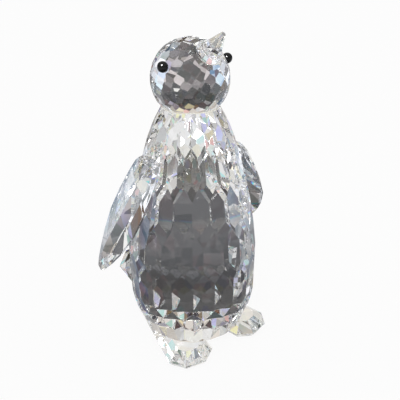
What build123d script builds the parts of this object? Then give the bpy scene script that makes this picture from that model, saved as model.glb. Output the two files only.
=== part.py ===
from build123d import *
from math import atan, cos, degrees, radians, sin, sqrt, tan
import os

# A penguin figurine made of cut crystals that are cemented together.
# It stands on two flat feet and looks up, facing -Y, and +Z is up. All sizes are in millimetres.
# The pieces are modelled with the body's axis on Z. At the end they move together along Y,
# so that the origin is on the ground, below the middle of the whole figurine.

# Cement joints: the thickness of every film between two crystals.
CEMENT = 0.2

# A row's facets reach into a sector when their middles lie within this share of half a step of its edges.
NEIGHBOUR_share = 0.98

# Body: a barrel with rows of tall facets, whose pointed ends interlock.
BODY_HEIGHT = 62.6
BODY_RADIUS = 17.8
BASE_RADIUS = 14.8
NECK_RADIUS = 7.4
BODY_SIDES = 20
# Rings where the rows of facets meet: share of the body's height,
# then share of the way from the base's (or the neck's) radius to the widest radius.
LOWER_RING_shares = ((0, 0), (0.102, 0.75), (0.171, 0.98), (0.36, 1))
UPPER_RING_shares = ((0.53, 0.88), (0.72, 0.64), (0.845, 0.42), (0.943, 0.19), (1, 0))

# Feet: long eight-sided crystals, splayed, that the body stands on.
FOOT_LENGTH = 26
FOOT_WIDTH = 12.9
FOOT_CORNER = 3.5
FOOT_HEIGHT = 4.0
FOOT_GIRDLE_HEIGHT = 1.4
FOOT_GIRDLE_BAND = 0.3
FOOT_BEVEL_ANGLE = 54
FOOT_UNDERCUT_ANGLE = 35
FOOT_SPLAY_ANGLE = 13
FOOT_REACH = 19.2
FOOT_GAP = 0.6

# Head: a ball with rings of facets around the beak's axis, tilted up.
# The flat below it has this share of the ball's radius.
HEAD_RADIUS = 9.7
HEAD_FLAT_share = 0.732
HEAD_TILT_ANGLE = 43
HEAD_SECTORS = 4
# Rings of facets on the head: latitude in degrees from the ball's equator towards the beak,
# then how many facets the ring has in each sector of the ball.
HEAD_RINGS = ((-70, 2), (-56, 3), (-42, 4), (-28, 5), (-14, 5), (0, 5), (14, 5), (28, 5), (42, 4), (56, 3))

# Beak: a spike on a round collar, cut from one crystal.
COLLAR_RADIUS = 3.3
COLLAR_THICKNESS = 2.2
COLLAR_BAND = 0.5
COLLAR_BEVEL_ANGLE = 38
COLLAR_SIDES = 16
SPIKE_LENGTH = 5.3
SPIKE_RADIUS = 2.2
SPIKE_TIP_RADIUS = 0.55
SPIKE_SIDES = 8

# Eyes: black beads set in round pits in the head.
EYE_RADIUS = 1.3
EYE_CLEARANCE = 0.1
EYE_OUT = 1.0
EYE_TURN_ANGLE = 75
EYE_LIFT_ANGLE = 23

# Wings: leaf-shaped crystals, cemented by the back of their upper end.
WING_LENGTH = 33
WING_WIDTH = 17
WING_THICKNESS = 4.8
WING_GIRDLE_BAND = 0.5
WING_GRIP = 7
WING_HEIGHT = 45
WING_TURN_ANGLE = -3.5
WING_SPREAD_ANGLE = 26.5
WING_LEAN_ANGLE = 9
WING_TWIST_ANGLE = -8
WING_SEAT_DEPTH = 0.6
WING_GRIND_DEPTH = 1.0
# Outline of a wing: share of its length, then share of its half width.
WING_OUTLINE_shares = ((0, 0.58), (0.07, 0.78), (0.22, 0.92), (0.40, 1), (0.58, 0.98), (0.74, 0.78),
                       (0.87, 0.52), (0.96, 0.30), (1, 0.14))
# The ridge of a wing's roof: how far it stops short of both ends, as a share of the length,
# and how far it lies towards the front at its upper end, as a share of the half width.
WING_RIDGE_share = 0.2
WING_RIDGE_FRONT_share = 0.45

# Tail: a wide crystal with cut corners, cemented to the back of the body.
TAIL_LENGTH = 17
TAIL_WIDTH = 20.5
TAIL_CORNER = 5.5
TAIL_THICKNESS = 5
TAIL_GIRDLE_BAND = 0.4
TAIL_BEVEL_ANGLE = 50
TAIL_HEIGHT = 3.2
TAIL_RISE_ANGLE = 12
TAIL_SEAT_DEPTH = 0.9


def ground_flat(stone, plane):
    """Grind away all of a stone that lies beyond a plane."""
    return split(stone, bisect_by=plane, keep=Keep.BOTTOM)


def cut_in_rows(bottom, top, reach, rows, sectors):
    """A round stone with rows of flat facets: one sector of it is ground, and then repeated round Z.

    A row is the height and radius of its facets' middles, how fast the radius grows with height,
    how many facets it has, and the direction of the first. The counts are multiples of the sectors.
    """
    sector_angle = 360 / sectors
    half_width = reach * tan(radians(sector_angle / 2))
    wedge = make_face(Polyline((0, 0, bottom), (reach, -half_width, bottom), (reach, half_width, bottom),
                               close=True))
    stone = extrude(wedge, amount=top - bottom)
    for height, radius, slope, sides, turn in rows:
        step = 360 / sides
        for index in range(sides):
            angle = (turn + index * step + 180) % 360 - 180
            if 2 * abs(angle) < sector_angle + NEIGHBOUR_share * step:
                across, along = cos(radians(angle)), sin(radians(angle))
                middle = (radius * across, radius * along, height)
                stone = ground_flat(stone, Plane(origin=middle, z_dir=(across, along, -slope)))
    return Part() + [Rot(0, 0, index * sector_angle) * stone for index in range(sectors)]


def plane_through(first, second, third, outward):
    """The plane through three points, with its normal on the side that outward points to."""
    normal = (second - first).cross(third - first)
    return Plane(origin=first, z_dir=normal if normal.dot(outward) > 0 else -normal)


def face_on(stone, plane):
    """The flat face of a stone that lies on a plane."""
    size = stone.bounding_box().diagonal

    def misfit(face):
        away = abs(plane.to_local_coords(face.center()).Z)
        return away + (1 - abs(face.normal_at().dot(plane.z_dir))) * size
    return min(stone.faces(), key=misfit)


def cement_between(lower, upper, plane):
    """The film of cement on a plane, as wide as the faces that it joins have in common."""
    from_lower = extrude(face_on(lower, plane), amount=CEMENT, dir=plane.z_dir)
    from_upper = extrude(face_on(upper, plane.offset(CEMENT)), amount=CEMENT, dir=-plane.z_dir)
    return from_lower & from_upper


def mirrored(shape):
    return mirror(shape, about=Plane.YZ)


# Body

BODY_BASE = FOOT_HEIGHT + CEMENT
BODY_TOP = BODY_BASE + BODY_HEIGHT


def body_rings():
    """Height and radius of each ring, from the base to the neck."""
    rings = [(BODY_BASE + BODY_HEIGHT * high, BASE_RADIUS + (BODY_RADIUS - BASE_RADIUS) * wide)
             for high, wide in LOWER_RING_shares]
    rings += [(BODY_BASE + BODY_HEIGHT * high, NECK_RADIUS + (BODY_RADIUS - NECK_RADIUS) * wide)
              for high, wide in UPPER_RING_shares]
    return rings


def body_slope(height):
    """How fast the body's radius grows with height, at this height."""
    for (low, low_radius), (high, high_radius) in zip(body_rings(), body_rings()[1:]):
        if low <= height <= high:
            return (high_radius - low_radius) / (high - low)
    raise ValueError("height is not on the body")


def body_radius(height):
    """The body's radius at this height, at the middle of a facet."""
    for (low, low_radius), (high, high_radius) in zip(body_rings(), body_rings()[1:]):
        if low <= height <= high:
            return low_radius + (height - low) * (high_radius - low_radius) / (high - low)
    raise ValueError("height is not on the body")


def make_body_blank():
    """The barrel: a row of tall facets between each pair of rings, half a step round from the row below."""
    rings = body_rings()
    half_step = 180 / BODY_SIDES
    rows = []
    for index, (low, high) in enumerate(zip(rings, rings[1:])):
        slope = (high[1] - low[1]) / (high[0] - low[0])
        rows.append((low[0], low[1], slope, BODY_SIDES, index % 2 * half_step))
    barrel = cut_in_rows(BODY_BASE, BODY_TOP, 2 * BODY_RADIUS, rows, BODY_SIDES)
    return Rot(0, 0, half_step - 90) * barrel


def seat_on_body(height, azimuth, depth):
    """A plane ground into the body's side, which follows its slope there. Its z axis points outward."""
    reach = body_radius(height) - depth
    lift = atan(-body_slope(height))
    outward = Vector(cos(azimuth) * cos(lift), sin(azimuth) * cos(lift), sin(lift))
    return Plane(origin=(reach * cos(azimuth), reach * sin(azimuth), height), z_dir=outward)


# Feet and tail

def long_octagon(length, width, corner):
    """An eight-sided outline, long in X, with its middle at the origin."""
    x, y = length / 2, width / 2
    return make_face(Polyline((x, corner - y), (x, y - corner), (x - corner, y), (corner - x, y),
                              (-x, y - corner), (-x, corner - y), (corner - x, -y), (x - corner, -y),
                              close=True))


def bevelled_slab(outline, band, crown_height, crown_angle, base_height, base_angle):
    """A slab with a straight girdle band, bevelled in above it to a table and below it to a base."""
    girdle = extrude(outline, amount=band)
    crown = extrude(outline.moved(Location((0, 0, band))), amount=crown_height, taper=crown_angle)
    base = extrude(outline, amount=base_height, dir=(0, 0, -1), taper=base_angle)
    return girdle + crown + base


def make_foot_left():
    splay = radians(FOOT_SPLAY_ANGLE)
    heel_corner = FOOT_REACH - FOOT_LENGTH + FOOT_CORNER
    inner_side = (FOOT_GAP / 2 - heel_corner * sin(splay)) / cos(splay)
    slab = bevelled_slab(long_octagon(FOOT_LENGTH, FOOT_WIDTH, FOOT_CORNER), FOOT_GIRDLE_BAND,
                         FOOT_HEIGHT - FOOT_GIRDLE_HEIGHT - FOOT_GIRDLE_BAND, FOOT_BEVEL_ANGLE,
                         FOOT_GIRDLE_HEIGHT, FOOT_UNDERCUT_ANGLE)
    frame = Plane(origin=(0, 0, FOOT_GIRDLE_HEIGHT), x_dir=(sin(splay), -cos(splay), 0), z_dir=(0, 0, 1))
    return frame * (Pos(FOOT_REACH - FOOT_LENGTH / 2, inner_side + FOOT_WIDTH / 2, 0) * slab)


def make_tail(seat):
    crown_height = (TAIL_THICKNESS - TAIL_GIRDLE_BAND) / 2
    slab = bevelled_slab(long_octagon(2 * TAIL_LENGTH, TAIL_WIDTH, TAIL_CORNER), TAIL_GIRDLE_BAND,
                         crown_height, TAIL_BEVEL_ANGLE, crown_height, TAIL_BEVEL_ANGLE)
    root = seat.offset(CEMENT)
    rise = radians(TAIL_RISE_ANGLE)
    frame = Plane(origin=root.origin, x_dir=(0, cos(rise), sin(rise)), z_dir=(0, -sin(rise), cos(rise)))
    behind = Plane(origin=root.origin, z_dir=-root.z_dir)
    return ground_flat(frame * (Pos(0, 0, -TAIL_GIRDLE_BAND / 2) * slab), behind)


# Wings

def wing_side(share, half_share, side):
    """A point of the wing's outline in its own plane: X along it, Y to the front."""
    return Vector(share * WING_LENGTH - WING_GRIP, side * half_share * WING_WIDTH / 2, 0)


def make_leaf():
    """A leaf with a roof of facets on each face: one facet from each side of its outline to the ridge."""
    front = [wing_side(share, half, 1) for share, half in WING_OUTLINE_shares]
    rear = [wing_side(share, half, -1) for share, half in WING_OUTLINE_shares]
    points = front + rear[::-1]
    height = WING_THICKNESS / 2
    stone = extrude(make_face(Polyline(*points, close=True)), amount=height, both=True)
    ridge_top = wing_side(WING_RIDGE_share, WING_RIDGE_FRONT_share, 1)
    ridge_run = wing_side(1 - WING_RIDGE_share, 0, 1) - ridge_top
    for outward in (Vector(0, 0, 1), Vector(0, 0, -1)):
        edge = outward * (WING_GIRDLE_BAND / 2)
        for first, second in zip(points, points[1:] + points[:1]):
            share = ((first.X + second.X) / 2 - ridge_top.X) / ridge_run.X
            ridge = ridge_top + ridge_run * min(max(share, 0), 1) + outward * height
            stone = ground_flat(stone, plane_through(first + edge, second + edge, ridge, outward))
    return stone


def wing_plane(seat):
    """Where the wing lies: X runs down to its tip, Y to the front, and Z outward."""
    spread, lean, twist = (radians(a) for a in (WING_SPREAD_ANGLE, WING_LEAN_ANGLE, WING_TWIST_ANGLE))
    down = Vector(-sin(spread) * cos(lean), sin(lean), -cos(spread) * cos(lean))
    level = down.cross(Vector(0, -1, 0)).normalized()
    across = level.cross(down)
    outward = level * cos(twist) + across * sin(twist)
    back = WING_THICKNESS / 2 - WING_GRIND_DEPTH
    return Plane(origin=seat.origin + seat.z_dir * CEMENT + outward * back, x_dir=down, z_dir=outward)


def make_wing_right(seat):
    """The wing on the penguin's right, ground at its root to lie on the body's seat."""
    leaf = wing_plane(seat) * make_leaf()
    root = seat.offset(CEMENT)
    return ground_flat(leaf, Plane(origin=root.origin, z_dir=-root.z_dir))


# Head, eyes and beak

HEAD_JOINT = BODY_TOP + CEMENT
HEAD_CENTRE = HEAD_JOINT + HEAD_RADIUS * sqrt(1 - HEAD_FLAT_share ** 2)
BEAK_SEAT_REACH = sqrt(HEAD_RADIUS ** 2 - COLLAR_RADIUS ** 2)


def head_direction(turn, lift):
    """The direction that is turned to the left from straight ahead, and lifted."""
    turn, lift = radians(turn), radians(lift)
    return Vector(sin(turn) * cos(lift), -cos(turn) * cos(lift), sin(lift))


def beak_seat():
    axis = head_direction(0, HEAD_TILT_ANGLE)
    return Plane(origin=Vector(0, 0, HEAD_CENTRE) + axis * BEAK_SEAT_REACH, x_dir=(1, 0, 0), z_dir=axis)


def eye_ball(side, radius):
    """A ball at the place of an eye. Its seam points away from the head, where nothing is cut."""
    outward = head_direction(side * EYE_TURN_ANGLE, EYE_LIFT_ANGLE)
    middle = Vector(0, 0, HEAD_CENTRE) + outward * (HEAD_RADIUS + EYE_OUT)
    return Plane(origin=middle, x_dir=outward, z_dir=outward.cross(Vector(0, 1, 0))) * Sphere(radius)


def make_ball():
    """A ball cut in rings of facets, each ring half a facet round from the one before."""
    rows = []
    for index, (latitude, in_sector) in enumerate(HEAD_RINGS):
        lift = radians(latitude)
        sides = in_sector * HEAD_SECTORS
        turn = index % 2 * 180 / sides
        rows.append((HEAD_RADIUS * sin(lift), HEAD_RADIUS * cos(lift), -tan(lift), sides, turn))
    return cut_in_rows(-HEAD_RADIUS, HEAD_RADIUS, 2 * HEAD_RADIUS, rows, HEAD_SECTORS)


def make_head():
    tilted = Plane(origin=(0, 0, HEAD_CENTRE), x_dir=(1, 0, 0), z_dir=beak_seat().z_dir)
    ball = ground_flat(tilted * make_ball(), beak_seat())
    ball = ground_flat(ball, Plane(origin=(0, 0, HEAD_JOINT), z_dir=(0, 0, -1)))
    for side in (-1, 1):
        ball = ball - eye_ball(side, EYE_RADIUS + EYE_CLEARANCE)
    return ball


def make_beak():
    """Collar and spike, standing on the beak's seat."""
    bevel = (COLLAR_THICKNESS - COLLAR_BAND) / 2
    outline = make_face(RegularPolygon(COLLAR_RADIUS, COLLAR_SIDES, major_radius=False).wire())
    collar = Pos(0, 0, bevel) * bevelled_slab(outline, COLLAR_BAND, bevel, COLLAR_BEVEL_ANGLE,
                                              bevel, COLLAR_BEVEL_ANGLE)
    foot = RegularPolygon(SPIKE_RADIUS, SPIKE_SIDES, major_radius=False)
    taper = degrees(atan((SPIKE_RADIUS - SPIKE_TIP_RADIUS) / SPIKE_LENGTH))
    spike = Pos(0, 0, COLLAR_THICKNESS) * extrude(foot, amount=SPIKE_LENGTH, taper=taper)
    return beak_seat().offset(CEMENT) * (collar + spike)


# The whole penguin

blank = make_body_blank()
right_seat = seat_on_body(BODY_BASE + WING_HEIGHT, radians(180 + WING_TURN_ANGLE), WING_SEAT_DEPTH)
left_seat = seat_on_body(BODY_BASE + WING_HEIGHT, radians(-WING_TURN_ANGLE), WING_SEAT_DEPTH)
tail_seat = seat_on_body(BODY_BASE + TAIL_HEIGHT, radians(90), TAIL_SEAT_DEPTH)
body = blank
for seat in (right_seat, left_seat, tail_seat):
    body = ground_flat(body, seat)

head = make_head()
beak = make_beak()
foot_left = make_foot_left()
wing_right = make_wing_right(right_seat)
tail = make_tail(tail_seat)
eye_right = eye_ball(-1, EYE_RADIUS)
foot_cement = cement_between(foot_left, body, Plane.XY.offset(FOOT_HEIGHT))
wing_cement = cement_between(body, wing_right, right_seat)

pieces = {
    "body": body,
    "head": head,
    "beak": beak,
    "eye_right": eye_right,
    "eye_left": mirrored(eye_right),
    "wing_right": wing_right,
    "wing_left": mirrored(wing_right),
    "foot_left": foot_left,
    "foot_right": mirrored(foot_left),
    "tail": tail,
    "neck_cement": cement_between(body, head, Plane.XY.offset(BODY_TOP)),
    "beak_cement": cement_between(head, beak, beak_seat()),
    "wing_cement_right": wing_cement,
    "wing_cement_left": mirrored(wing_cement),
    "foot_cement_left": foot_cement,
    "foot_cement_right": mirrored(foot_cement),
    "tail_cement": cement_between(body, tail, tail_seat),
}
boxes = [piece.bounding_box() for piece in pieces.values()]
middle = (min(box.min.Y for box in boxes) + max(box.max.Y for box in boxes)) / 2

os.makedirs("parts", exist_ok=True)
for name, piece in pieces.items():
    export_step(Pos(0, -middle, 0) * piece, f"parts/{name}.step")
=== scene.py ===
from math import atan2, cos, pi, radians, sin

import bmesh
import bpy
from mathutils import Matrix, Vector


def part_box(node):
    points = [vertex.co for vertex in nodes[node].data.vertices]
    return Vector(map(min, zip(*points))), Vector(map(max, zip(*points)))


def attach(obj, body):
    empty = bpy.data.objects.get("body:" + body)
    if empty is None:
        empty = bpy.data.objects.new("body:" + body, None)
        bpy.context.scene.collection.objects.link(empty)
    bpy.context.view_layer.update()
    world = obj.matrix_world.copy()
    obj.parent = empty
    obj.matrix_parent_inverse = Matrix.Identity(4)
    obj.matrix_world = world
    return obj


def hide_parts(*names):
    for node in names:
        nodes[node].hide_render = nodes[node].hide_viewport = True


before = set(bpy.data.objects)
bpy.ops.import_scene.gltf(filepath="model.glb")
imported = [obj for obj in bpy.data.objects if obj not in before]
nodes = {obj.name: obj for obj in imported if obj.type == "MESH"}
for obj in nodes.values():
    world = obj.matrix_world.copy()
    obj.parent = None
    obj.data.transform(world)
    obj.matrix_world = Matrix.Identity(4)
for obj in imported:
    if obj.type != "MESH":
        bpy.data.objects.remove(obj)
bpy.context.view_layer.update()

# A penguin of cut crystals on white paper, in metres. The crystals, beads and cement come from the
# frame. This script adds their finish, the bonds that light passes, the studio and the camera.

MM = 0.001

# The photograph is square and this many pixels wide.
PHOTO_PIXELS = 400

# Camera: where it stands from the body's axis, how it is turned in degrees, and its focal length in
# pixels of the photograph.
CAMERA_SIDE = -70.61 * MM
CAMERA_FRONT = -96.51 * MM
CAMERA_HEIGHT = 98.17 * MM
CAMERA_AZIMUTH = -36.19
CAMERA_PITCH = 25.66
CAMERA_PAN = -1.08
CAMERA_ROLL = -0.26
CAMERA_FOCAL_PIXELS = 486
CAMERA_NEAREST = 1 * MM
SENSOR_WIDTH = 36

# Straight away from the camera, over the ground. The studio is dark on that side: the tent gives little light
# there, and the card is painted dark.
BEHIND = Vector((-CAMERA_SIDE, -CAMERA_FRONT)).normalized()

# How often light may be bent or reflected on its way through the crystals.
LIGHT_BOUNCES = 32

# Which crystals each film of cement joins.
JOINTS = {
    "neck_cement": ("body", "head"),
    "beak_cement": ("head", "beak"),
    "wing_cement_right": ("body", "wing_right"),
    "wing_cement_left": ("body", "wing_left"),
    "foot_cement_left": ("foot_left", "body"),
    "foot_cement_right": ("foot_right", "body"),
    "tail_cement": ("body", "tail"),
}
CRYSTALS = ("body", "head", "beak", "wing_right", "wing_left", "foot_left", "foot_right", "tail")
BEADS = ("eye_right", "eye_left")

# Two faces lie in one plane when they are nearer than this, and the cosine of the angle between them
# is this close to 1. The points of a film's outline are told apart by the same distance.
SAME_PLANE = 0.02 * MM
SAME_TURN = 0.001

# Corners nearer than this are one corner, and a cut this near to a corner goes through it.
SAME_CORNER = SAME_PLANE / 100
CUT_MARGIN = SAME_PLANE / 10

# Faces that meet at less than the first angle, in degrees, are one facet. Edges above the second angle
# are polished off, this far onto each facet.
FLAT_ANGLE = 0.5
FACET_ANGLE = 4
EDGE_WEAR = 0.05 * MM

# The films of cement are thinner than their gaps by this share.
FILM_SHRINK = 0.2

# Crystal: colour and refractive index, then the smudges on its gloss and the waves that polishing left.
CRYSTAL_COLOUR = (0.99, 0.99, 0.99, 1)
CRYSTAL_INDEX = 1.72
SMUDGE_SIZE = 6 * MM
SMUDGE_SHARE = (0.55, 0.75)
SMUDGE_ROUGHNESS = (0, 0.006)
WAVE_SIZE = 2.5 * MM
WAVE_DEPTH = 0.05 * MM
WAVE_STRENGTH = 0.02

# Cement: the tint of clear and of yellowed films, then the size and look of the bubbles.
CLEAR_TINT = (0.99, 0.98, 0.95, 1)
YELLOWED_TINT = (0.98, 0.95, 0.84, 1)
BUBBLE_SPACING = 1.1 * MM
BUBBLE_RIM = (0.2, 0.3)
BUBBLE_COLOUR = (0.97, 0.96, 0.92, 1)
BUBBLE_ROUGHNESS = 0.15

# Black beads.
BEAD_COLOUR = (0.002, 0.002, 0.002, 1)
BEAD_SPECULAR = 0.2
BEAD_MARK_SIZE = 0.4 * MM
BEAD_MARK_SHARE = (0.4, 0.7)
BEAD_ROUGHNESS = (0.03, 0.08)

# The small lamp that only the beads reflect. Its place is from the body's axis, at the beads' height.
HIGHLIGHT_PLACE = Vector((-0.16, -0.12, 0.2))
HIGHLIGHT_SIZE = 0.09
HIGHLIGHT_ENERGY = 4.5

# Paper: its glow is the share of its white that doesn't depend on light. Through the crystals it shows
# painted patches of light and shade in these tones, some of them a little yellow.
PAPER_COLOUR = (0.9, 0.9, 0.9, 1)
PAPER_ROUGHNESS = 0.8
PAPER_GLOW = 0.93
PAPER_PATCH = 5 * MM
PAPER_TONES = (0.72, 0.96)
PAPER_TINT = 0.1
PAPER_DEPTH = 0.2 * MM
PAPER_REACH = 3.0

# Card: a ring round the body's axis, between the feet and the paper, that glows with painted light and shade,
# which only rays off and through the crystals see. It is painted white up to a small radius, then painted
# dark behind the penguin and grey on the other sides. Near and far parts have painted tones, patches and
# greys of their own. A far patch is about as wide as its distance squared over CARD_FAR_PATCH.
CARD_INNER = 20 * MM
CARD_WHITE = 22 * MM
CARD_WHITE_EDGE = 0.3 * MM
CARD_WHITE_TONE = 0.75
CARD_OUTER = 2.5
CARD_HEIGHT = -PAPER_DEPTH / 2
CARD_CORNERS = 64
CARD_FAR = (75 * MM, 110 * MM)
CARD_NEAR_PATCH = 9 * MM
CARD_NEAR_TONES = (0.024, 0.08)
CARD_FAR_PATCH = 700 * MM
CARD_FAR_SHARE = (0.3, 1)
CARD_FAR_TONES = (0.1, 0.68)
CARD_SIDE = (0.72, 0.85)
CARD_GREYS = (0.22, 0.75)
CARD_COOLNESS = (0.94, 1, 1.09)
CARD_WARM_SHARE = (0.75, 0.8)
CARD_NEAR_WARMTH = (1.03, 1.3)
CARD_FAR_WARMTH = 1.09

# How far the card's side and inner edges are apart in red, green and blue, as painted fire: the colours
# that dispersion in the crystals would give.
CARD_FIRE = -0.025
CARD_FRINGE = -0.5 * MM

# Light tent: the white that the camera sees, then the panels of two tones, with coloured edges, that
# light the crystals. Low down it is dark behind the penguin and duller in front. The heights and turns
# are parts of a direction of length 1.
TENT_WHITE = 0.975
TENT_PANELS = 2.2
TENT_PANEL_EDGE = (0.48, 0.52)
TENT_TONES = (0.54, 0.86)
TENT_FIRE = Vector((0.06, -0.043, -0.017))
TENT_BACK_RISE = (0.42, 0.66)
TENT_BACK_LOW = 0.03
TENT_FRONT_RISE = (0.2, 0.6)
TENT_FRONT_LOW = 0.5
TENT_TURN = (0.1, 0.5)

# A small bright lamp in the tent.
LAMP_DIRECTION = Vector((-0.55, -0.35, 0.76)).normalized()
LAMP_EDGE = (0.981, 0.983)
LAMP_STRENGTH = 4

# Where a Mix node keeps its two colours and its result.
MIX_FIRST = 6
MIX_SECOND = 7
MIX_RESULT = 2


# Nodes

def new_material(name):
    """A material with nodes."""
    material = bpy.data.materials.new(name)
    material.use_nodes = True
    return material


def main_shader(material):
    """The shader that a new material starts with."""
    return material.node_tree.nodes["Principled BSDF"]


def show(material, shader_output):
    """Make this shader the one that the material's surface shows."""
    tree = material.node_tree
    tree.links.new(shader_output, tree.nodes["Material Output"].inputs["Surface"])


def add_node(tree, kind, **inputs):
    """A node of that kind, with these values on its inputs. An underscore in a name stands for a space."""
    node = tree.nodes.new(kind)
    for key, value in inputs.items():
        node.inputs[key.replace("_", " ")].default_value = value
    return node


def mixed(tree, share, first, second):
    """A mix of two shaders, with this share of the second."""
    mix = tree.nodes.new("ShaderNodeMixShader")
    tree.links.new(share, mix.inputs["Fac"])
    tree.links.new(first, mix.inputs[1])
    tree.links.new(second, mix.inputs[2])
    return mix.outputs["Shader"]


def calculated(tree, operation, first, second):
    """A sum, product or the like of two values, each a number or another node's output."""
    node = tree.nodes.new("ShaderNodeMath")
    node.operation = operation
    for socket, value in zip(node.inputs, (first, second)):
        if isinstance(value, (int, float)):
            socket.default_value = value
        else:
            tree.links.new(value, socket)
    return node.outputs["Value"]


def mapped(tree, source, low, high, to_low, to_high):
    """A value that runs from to_low to to_high while the source runs from low to high."""
    ramp = add_node(tree, "ShaderNodeMapRange", From_Min=low, From_Max=high, To_Min=to_low, To_Max=to_high)
    tree.links.new(source, ramp.inputs["Value"])
    return ramp.outputs["Result"]


def object_place(tree):
    """Places on the object, in metres."""
    return tree.nodes.new("ShaderNodeTexCoord").outputs["Object"]


def object_noise(tree, size, detail=3):
    """Noise with features of about this size, in metres, fixed to the object."""
    texture = add_node(tree, "ShaderNodeTexNoise", Scale=1 / size, Detail=detail)
    tree.links.new(object_place(tree), texture.inputs["Vector"])
    return texture.outputs["Fac"]


def patches(tree, place, scale):
    """Random values, each the same all over one patch."""
    cells = add_node(tree, "ShaderNodeTexVoronoi", Scale=scale)
    tree.links.new(place, cells.inputs["Vector"])
    split = tree.nodes.new("ShaderNodeSeparateColor")
    tree.links.new(cells.outputs["Color"], split.inputs["Color"])
    return split.outputs


def rays_that_see(tree, *kinds):
    """1 for these kinds of ray, and 0 for the others."""
    path = tree.nodes.new("ShaderNodeLightPath")
    result = path.outputs[kinds[0]]
    for kind in kinds[1:]:
        result = calculated(tree, "MAXIMUM", result, path.outputs[kind])
    return result


def in_colours(tree, brightness):
    """A colour whose red, green and blue come from the same pattern, moved a little apart."""
    colour = tree.nodes.new("ShaderNodeCombineColor")
    for channel, shift in (("Red", -1), ("Green", 0), ("Blue", 1)):
        tree.links.new(brightness(shift), colour.inputs[channel])
    return colour.outputs["Color"]


def compass(tree, direction):
    """A direction's length over the ground, how far behind the penguin it points, and its height."""
    split = tree.nodes.new("ShaderNodeSeparateXYZ")
    tree.links.new(direction, split.inputs["Vector"])
    x, y, height = (split.outputs[letter] for letter in "XYZ")
    square = calculated(tree, "ADD", calculated(tree, "MULTIPLY", x, x), calculated(tree, "MULTIPLY", y, y))
    reach = calculated(tree, "SQRT", square, 0)
    along = calculated(tree, "ADD", calculated(tree, "MULTIPLY", x, BEHIND.x),
                       calculated(tree, "MULTIPLY", y, BEHIND.y))
    return reach, calculated(tree, "DIVIDE", along, reach), height


# Materials of the penguin

def cut_crystal():
    """Polished lead crystal: clear, with faint marks of the polishing wheel."""
    material = new_material("cut_crystal")
    tree = material.node_tree
    shader = main_shader(material)
    shader.inputs["Base Color"].default_value = CRYSTAL_COLOUR
    shader.inputs["Transmission Weight"].default_value = 1
    shader.inputs["IOR"].default_value = CRYSTAL_INDEX
    smudges = object_noise(tree, SMUDGE_SIZE)
    tree.links.new(mapped(tree, smudges, *SMUDGE_SHARE, *SMUDGE_ROUGHNESS), shader.inputs["Roughness"])
    bump = add_node(tree, "ShaderNodeBump", Strength=WAVE_STRENGTH, Distance=WAVE_DEPTH)
    tree.links.new(object_noise(tree, WAVE_SIZE, detail=1), bump.inputs["Height"])
    tree.links.new(bump.outputs["Normal"], shader.inputs["Normal"])
    return material


def bonded_face():
    """A face that cement wets: light goes straight on through it."""
    material = new_material("bonded_face")
    show(material, add_node(material.node_tree, "ShaderNodeBsdfTransparent").outputs["BSDF"])
    return material


def cement_film(name, tint):
    """Cement with small bubbles in it."""
    material = new_material(name)
    tree = material.node_tree
    bubble = main_shader(material)
    bubble.inputs["Base Color"].default_value = BUBBLE_COLOUR
    bubble.inputs["Transmission Weight"].default_value = 1
    bubble.inputs["Roughness"].default_value = BUBBLE_ROUGHNESS
    cells = add_node(tree, "ShaderNodeTexVoronoi", Scale=1 / BUBBLE_SPACING, Randomness=1)
    tree.links.new(object_place(tree), cells.inputs["Vector"])
    clear = add_node(tree, "ShaderNodeBsdfTransparent", Color=tint)
    bubbles = mapped(tree, cells.outputs["Distance"], *BUBBLE_RIM, 1, 0)
    show(material, mixed(tree, bubbles, clear.outputs["BSDF"], bubble.outputs["BSDF"]))
    return material


def black_bead():
    """Polished black, with a faint unevenness in its gloss."""
    material = new_material("black_bead")
    tree = material.node_tree
    shader = main_shader(material)
    shader.inputs["Base Color"].default_value = BEAD_COLOUR
    shader.inputs["Specular IOR Level"].default_value = BEAD_SPECULAR
    marks = object_noise(tree, BEAD_MARK_SIZE)
    tree.links.new(mapped(tree, marks, *BEAD_MARK_SHARE, *BEAD_ROUGHNESS), shader.inputs["Roughness"])
    return material


# Crystals and their bonds

def film_outline(film):
    """The middle of a film, its normal, its thickness, and its outline in order, seen along the normal."""
    mesh = nodes[film].data
    normal = max(mesh.polygons, key=lambda face: face.area).normal.copy()
    heights = [vertex.co.dot(normal) for vertex in mesh.vertices]
    top = max(heights)
    rim = [vertex.co.copy() for vertex, height in zip(mesh.vertices, heights)
           if top - height < SAME_PLANE / 2]
    middle = sum(rim, Vector()) / len(rim)
    across = normal.orthogonal().normalized()
    along = normal.cross(across)
    rim.sort(key=lambda point: atan2((point - middle).dot(along), (point - middle).dot(across)))
    outline = [point for index, point in enumerate(rim)
               if (point - rim[index - 1]).length > SAME_PLANE]
    return middle, normal, top - min(heights), outline


def inside(point, outline, normal):
    """True if a point lies within a convex outline, seen along the normal."""
    pairs = zip(outline, outline[1:] + outline[:1])
    return all((second - first).cross(point - first).dot(normal) > -SAME_PLANE ** 2
               for first, second in pairs)


def mark_bond(mesh, film):
    """Cut the face that a film wets along the film's outline. The part inside gets the second material."""
    middle, normal, thickness, outline = film_outline(film)

    def wetted():
        return [face for face in mesh.faces
                if abs(face.normal.dot(normal)) > 1 - SAME_TURN
                and abs((face.calc_center_median() - middle).dot(normal)) < thickness + SAME_PLANE]

    for first, second in zip(outline, outline[1:] + outline[:1]):
        faces = wetted()
        edges = {edge for face in faces for edge in face.edges}
        vertices = {vertex for face in faces for vertex in face.verts}
        bmesh.ops.bisect_plane(mesh, geom=faces + list(edges) + list(vertices), dist=CUT_MARGIN,
                               plane_co=first, plane_no=(second - first).cross(normal))
    for face in wetted():
        if inside(face.calc_center_median(), outline, normal):
            face.material_index = 1


def add_piece(name, mesh, node, materials):
    """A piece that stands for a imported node."""
    piece = bpy.data.objects.new(name, mesh)
    bpy.context.scene.collection.objects.link(piece)
    mesh.materials.clear()
    for material in materials:
        mesh.materials.append(material)
    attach(piece, "root")
    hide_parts(node)
    return piece


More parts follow.
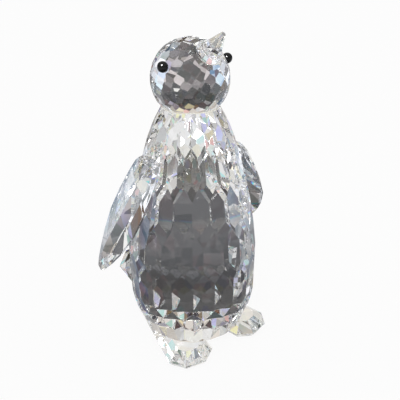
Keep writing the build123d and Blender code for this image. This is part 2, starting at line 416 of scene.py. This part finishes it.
def add_crystal(node, crystal, bonded):
    """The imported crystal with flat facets, and the parts of its faces that cement wets."""
    mesh = bmesh.new()
    mesh.from_mesh(nodes[node].data)
    bmesh.ops.remove_doubles(mesh, verts=mesh.verts, dist=SAME_CORNER)
    bmesh.ops.dissolve_limit(mesh, angle_limit=radians(FLAT_ANGLE), verts=mesh.verts, edges=mesh.edges)
    sharp = [edge for edge in mesh.edges if edge.calc_face_angle(0) > radians(FACET_ANGLE)]
    bmesh.ops.bevel(mesh, geom=sharp, offset=EDGE_WEAR, segments=1, profile=0.5, affect="EDGES",
                    clamp_overlap=True)
    for face in mesh.faces:
        face.smooth = False
        face.material_index = 0
    for film, joined in JOINTS.items():
        if node in joined:
            mark_bond(mesh, film)
    data = bpy.data.meshes.new(node + "_crystal")
    mesh.to_mesh(data)
    mesh.free()
    add_piece(node + "_crystal", data, node, (crystal, bonded))


def add_film(film, material):
    """The cement, a hair thinner than its gap so that its faces don't lie in the crystals' faces."""
    middle, normal, thickness, _ = film_outline(film)
    data = nodes[film].data.copy()
    core = middle - normal * thickness / 2
    for vertex in data.vertices:
        height = (vertex.co - core).dot(normal)
        vertex.co = vertex.co - normal * height * FILM_SHRINK
    add_piece(film + "_film", data, film, (material,))


crystal = cut_crystal()
bonded = bonded_face()
for node in CRYSTALS:
    add_crystal(node, crystal, bonded)
clear_cement = cement_film("clear_cement", CLEAR_TINT)
yellowed_cement = cement_film("yellowed_cement", YELLOWED_TINT)
for film in JOINTS:
    add_film(film, yellowed_cement if "wing" in film else clear_cement)
black = black_bead()
for node in BEADS:
    nodes[node].data.materials.clear()
    nodes[node].data.materials.append(black)


# Studio

def stage_mesh(name, vertices, faces, material):
    """A sheet of the studio, which isn't a part of the penguin."""
    mesh = bpy.data.meshes.new(name)
    mesh.from_pydata(vertices, [], faces)
    mesh.materials.append(material)
    sheet = bpy.data.objects.new(name, mesh)
    bpy.context.scene.collection.objects.link(sheet)
    return sheet


def white_paper():
    """Paper that shows as white, directly and through the crystals, and keeps a trace of a shadow. Through
    the crystals its white breaks into painted patches of light and shade.
    """
    material = new_material("white_paper")
    tree = material.node_tree
    shader = main_shader(material)
    shader.inputs["Base Color"].default_value = PAPER_COLOUR
    shader.inputs["Roughness"].default_value = PAPER_ROUGHNESS
    shader.inputs["Specular IOR Level"].default_value = 0
    # Painted patches of light and shade, which only rays off and through the crystals see.
    random = patches(tree, object_place(tree), 1 / PAPER_PATCH)
    tone = mapped(tree, random["Red"], 0, 1, *PAPER_TONES)
    painted_patches = tree.nodes.new("ShaderNodeCombineColor")
    for channel, amount in (("Red", 0), ("Green", -PAPER_TINT / 4), ("Blue", -PAPER_TINT)):
        tint = mapped(tree, random["Green"], 0, 1, 1 + amount, 1)
        tree.links.new(calculated(tree, "MULTIPLY", tone, tint), painted_patches.inputs[channel])
    colour = tree.nodes.new("ShaderNodeMix")
    colour.data_type = "RGBA"
    tree.links.new(rays_that_see(tree, "Is Glossy Ray", "Is Transmission Ray"), colour.inputs["Factor"])
    colour.inputs[MIX_FIRST].default_value = (1, 1, 1, 1)
    tree.links.new(painted_patches.outputs["Color"], colour.inputs[MIX_SECOND])
    white = add_node(tree, "ShaderNodeEmission", Strength=1)
    tree.links.new(colour.outputs[MIX_RESULT], white.inputs["Color"])
    seen = rays_that_see(tree, "Is Camera Ray", "Is Glossy Ray", "Is Transmission Ray")
    glow = calculated(tree, "MULTIPLY", seen, PAPER_GLOW)
    show(material, mixed(tree, glow, shader.outputs["BSDF"], white.outputs["Emission"]))
    return material


def painted_light_and_shade_card():
    """A card over the paper that glows with painted light and shade: dark behind the penguin, grey elsewhere
    and white in the middle, with its edges painted in colours as fire.
    """
    material = new_material("painted_light_and_shade_card")
    tree = material.node_tree
    place = object_place(tree)
    reach, behind, _ = compass(tree, place)
    fine = patches(tree, place, 1 / CARD_NEAR_PATCH)
    shrunk = tree.nodes.new("ShaderNodeVectorMath")
    shrunk.operation = "SCALE"
    tree.links.new(place, shrunk.inputs["Vector"])
    square = calculated(tree, "MULTIPLY", reach, reach)
    tree.links.new(calculated(tree, "DIVIDE", CARD_FAR_PATCH, square), shrunk.inputs["Scale"])
    coarse = patches(tree, shrunk.outputs["Vector"], 1)
    farness = mapped(tree, reach, *CARD_FAR, 0, 1)
    grey = mapped(tree, reach, *CARD_FAR, *CARD_GREYS)
    warmth = mapped(tree, fine["Green"], *CARD_WARM_SHARE, *CARD_NEAR_WARMTH)
    near = calculated(tree, "MULTIPLY", mapped(tree, fine["Red"], 0, 1, *CARD_NEAR_TONES),
                      calculated(tree, "SUBTRACT", 1, farness))
    far = calculated(tree, "MULTIPLY", mapped(tree, coarse["Red"], *CARD_FAR_SHARE, *CARD_FAR_TONES), farness)

    # Each channel's painted tone, with the edges moved apart in red, green and blue as painted fire.
    def brightness(shift):
        turned = calculated(tree, "ADD", behind, shift * CARD_FIRE)
        side = calculated(tree, "MULTIPLY", mapped(tree, turned, *CARD_SIDE, 1, 0),
                          calculated(tree, "MULTIPLY", grey, CARD_COOLNESS[shift + 1]))
        moved = calculated(tree, "ADD", reach, shift * CARD_FRINGE)
        middle = mapped(tree, moved, CARD_WHITE, CARD_WHITE + CARD_WHITE_EDGE, CARD_WHITE_TONE, 0)
        tone = calculated(tree, "ADD", calculated(tree, "MULTIPLY", near, warmth if shift < 0 else 1),
                          calculated(tree, "MULTIPLY", far, CARD_FAR_WARMTH if shift < 0 else 1))
        return calculated(tree, "MAXIMUM", calculated(tree, "ADD", tone, side), middle)

    # The card glows at its painted tones, whatever light falls on it.
    glow = add_node(tree, "ShaderNodeEmission", Strength=1)
    tree.links.new(in_colours(tree, brightness), glow.inputs["Color"])
    show(material, glow.outputs["Emission"])
    return material


def light_tent():
    """The sky of the studio: dark low down behind the penguin, and bright panels elsewhere."""
    tent = bpy.data.worlds.new("light_tent")
    tent.use_nodes = True
    tree = tent.node_tree
    place = tree.nodes.new("ShaderNodeTexCoord").outputs["Generated"]

    def brightness(shift):
        moved = add_node(tree, "ShaderNodeVectorMath")
        moved.operation = "ADD"
        tree.links.new(place, moved.inputs[0])
        moved.inputs[1].default_value = TENT_FIRE * shift
        _, behind, height = compass(tree, moved.outputs["Vector"])
        panels = add_node(tree, "ShaderNodeTexNoise", Scale=TENT_PANELS, Detail=0)
        tree.links.new(moved.outputs["Vector"], panels.inputs["Vector"])
        panel = mapped(tree, panels.outputs["Fac"], *TENT_PANEL_EDGE, *TENT_TONES)
        back = mapped(tree, height, *TENT_BACK_RISE, TENT_BACK_LOW, 1)
        front = mapped(tree, height, *TENT_FRONT_RISE, TENT_FRONT_LOW, 1)
        share = mapped(tree, behind, *TENT_TURN, 0, 1)
        rise = calculated(tree, "ADD", calculated(tree, "MULTIPLY", back, share),
                          calculated(tree, "MULTIPLY", front, calculated(tree, "SUBTRACT", 1, share)))
        lamp = tree.nodes.new("ShaderNodeVectorMath")
        lamp.operation = "DOT_PRODUCT"
        tree.links.new(place, lamp.inputs[0])
        lamp.inputs[1].default_value = LAMP_DIRECTION
        spot = mapped(tree, lamp.outputs["Value"], *LAMP_EDGE, 0, LAMP_STRENGTH)
        return calculated(tree, "ADD", calculated(tree, "MULTIPLY", panel, rise), spot)

    light = tree.nodes["Background"]
    tree.links.new(in_colours(tree, brightness), light.inputs["Color"])
    white = add_node(tree, "ShaderNodeBackground", Color=(1, 1, 1, 1), Strength=TENT_WHITE)
    both = mixed(tree, rays_that_see(tree, "Is Camera Ray"), light.outputs["Background"],
                 white.outputs["Background"])
    tree.links.new(both, tree.nodes["World Output"].inputs["Surface"])
    return tent


def add_highlight(axis):
    """A small lamp that only the beads reflect, for the bright spot that each shows."""
    beads = bpy.data.collections.new("beads")
    for node in BEADS:
        beads.objects.link(nodes[node])
    data = bpy.data.lights.new("highlight", "AREA")
    data.shape = "DISK"
    data.size = HIGHLIGHT_SIZE
    data.energy = HIGHLIGHT_ENERGY
    data.diffuse_factor = 0
    lamp = bpy.data.objects.new("highlight", data)
    bpy.context.scene.collection.objects.link(lamp)
    target = Vector((axis.x, axis.y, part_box("eye_left")[1].z))
    lamp.location = target + HIGHLIGHT_PLACE
    lamp.rotation_euler = HIGHLIGHT_PLACE.to_track_quat("Z", "Y").to_euler()
    lamp.light_linking.receiver_collection = beads
    lamp.visible_camera = False


def add_paper():
    """The white floor, a hair below the feet."""
    signs = ((-1, -1), (1, -1), (1, 1), (-1, 1))
    corners = [(x * PAPER_REACH, y * PAPER_REACH, -PAPER_DEPTH) for x, y in signs]
    stage_mesh("paper", corners, [(0, 1, 2, 3)], white_paper())


def add_card(axis):
    """The card of painted light and shade, which only rays through or off the crystals see."""
    vertices = []
    for radius in (CARD_INNER, CARD_OUTER):
        for index in range(CARD_CORNERS):
            angle = 2 * pi * index / CARD_CORNERS
            vertices.append((radius * cos(angle), radius * sin(angle), 0))
    faces = []
    for index in range(CARD_CORNERS):
        following = (index + 1) % CARD_CORNERS
        faces.append((index, following, following + CARD_CORNERS, index + CARD_CORNERS))
    card = stage_mesh("painted_light_and_shade_card", vertices, faces, painted_light_and_shade_card())
    card.location = (axis.x, axis.y, CARD_HEIGHT)
    # Hidden from the camera and from light, so that its painted shade and light show only in the crystals.
    card.visible_camera = False
    card.visible_diffuse = False
    card.visible_shadow = False


low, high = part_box("body")
axis = (low + high) / 2
add_paper()
add_card(axis)
bpy.context.scene.world = light_tent()
add_highlight(axis)


# Camera

def camera_matrix(eye):
    """Where the camera stands and how it is turned, from its azimuth, pan, pitch and roll."""
    turn = radians(CAMERA_AZIMUTH + CAMERA_PAN)
    pitch = radians(CAMERA_PITCH)
    roll = radians(CAMERA_ROLL)
    right = Vector((cos(turn), sin(turn), 0))
    level = Vector((-sin(turn), cos(turn), 0))
    forward = cos(pitch) * level + Vector((0, 0, -sin(pitch)))
    up = right.cross(forward)
    rolled_right = cos(roll) * right + sin(roll) * up
    rolled_up = cos(roll) * up - sin(roll) * right
    rotation = Matrix((rolled_right, rolled_up, -forward)).transposed()
    return Matrix.Translation(eye) @ rotation.to_4x4()


camera_data = bpy.data.cameras.new("camera")
camera_data.sensor_width = SENSOR_WIDTH
camera_data.lens = CAMERA_FOCAL_PIXELS * SENSOR_WIDTH / PHOTO_PIXELS
camera_data.clip_start = CAMERA_NEAREST
camera = bpy.data.objects.new("camera", camera_data)
bpy.context.scene.collection.objects.link(camera)
camera.matrix_world = camera_matrix(Vector((axis.x + CAMERA_SIDE, axis.y + CAMERA_FRONT, CAMERA_HEIGHT)))
bpy.context.scene.camera = camera

for limit in ("max_bounces", "glossy_bounces", "transmission_bounces", "transparent_max_bounces"):
    setattr(bpy.context.scene.cycles, limit, LIGHT_BOUNCES)
bpy.context.scene.view_settings.view_transform = "Standard"
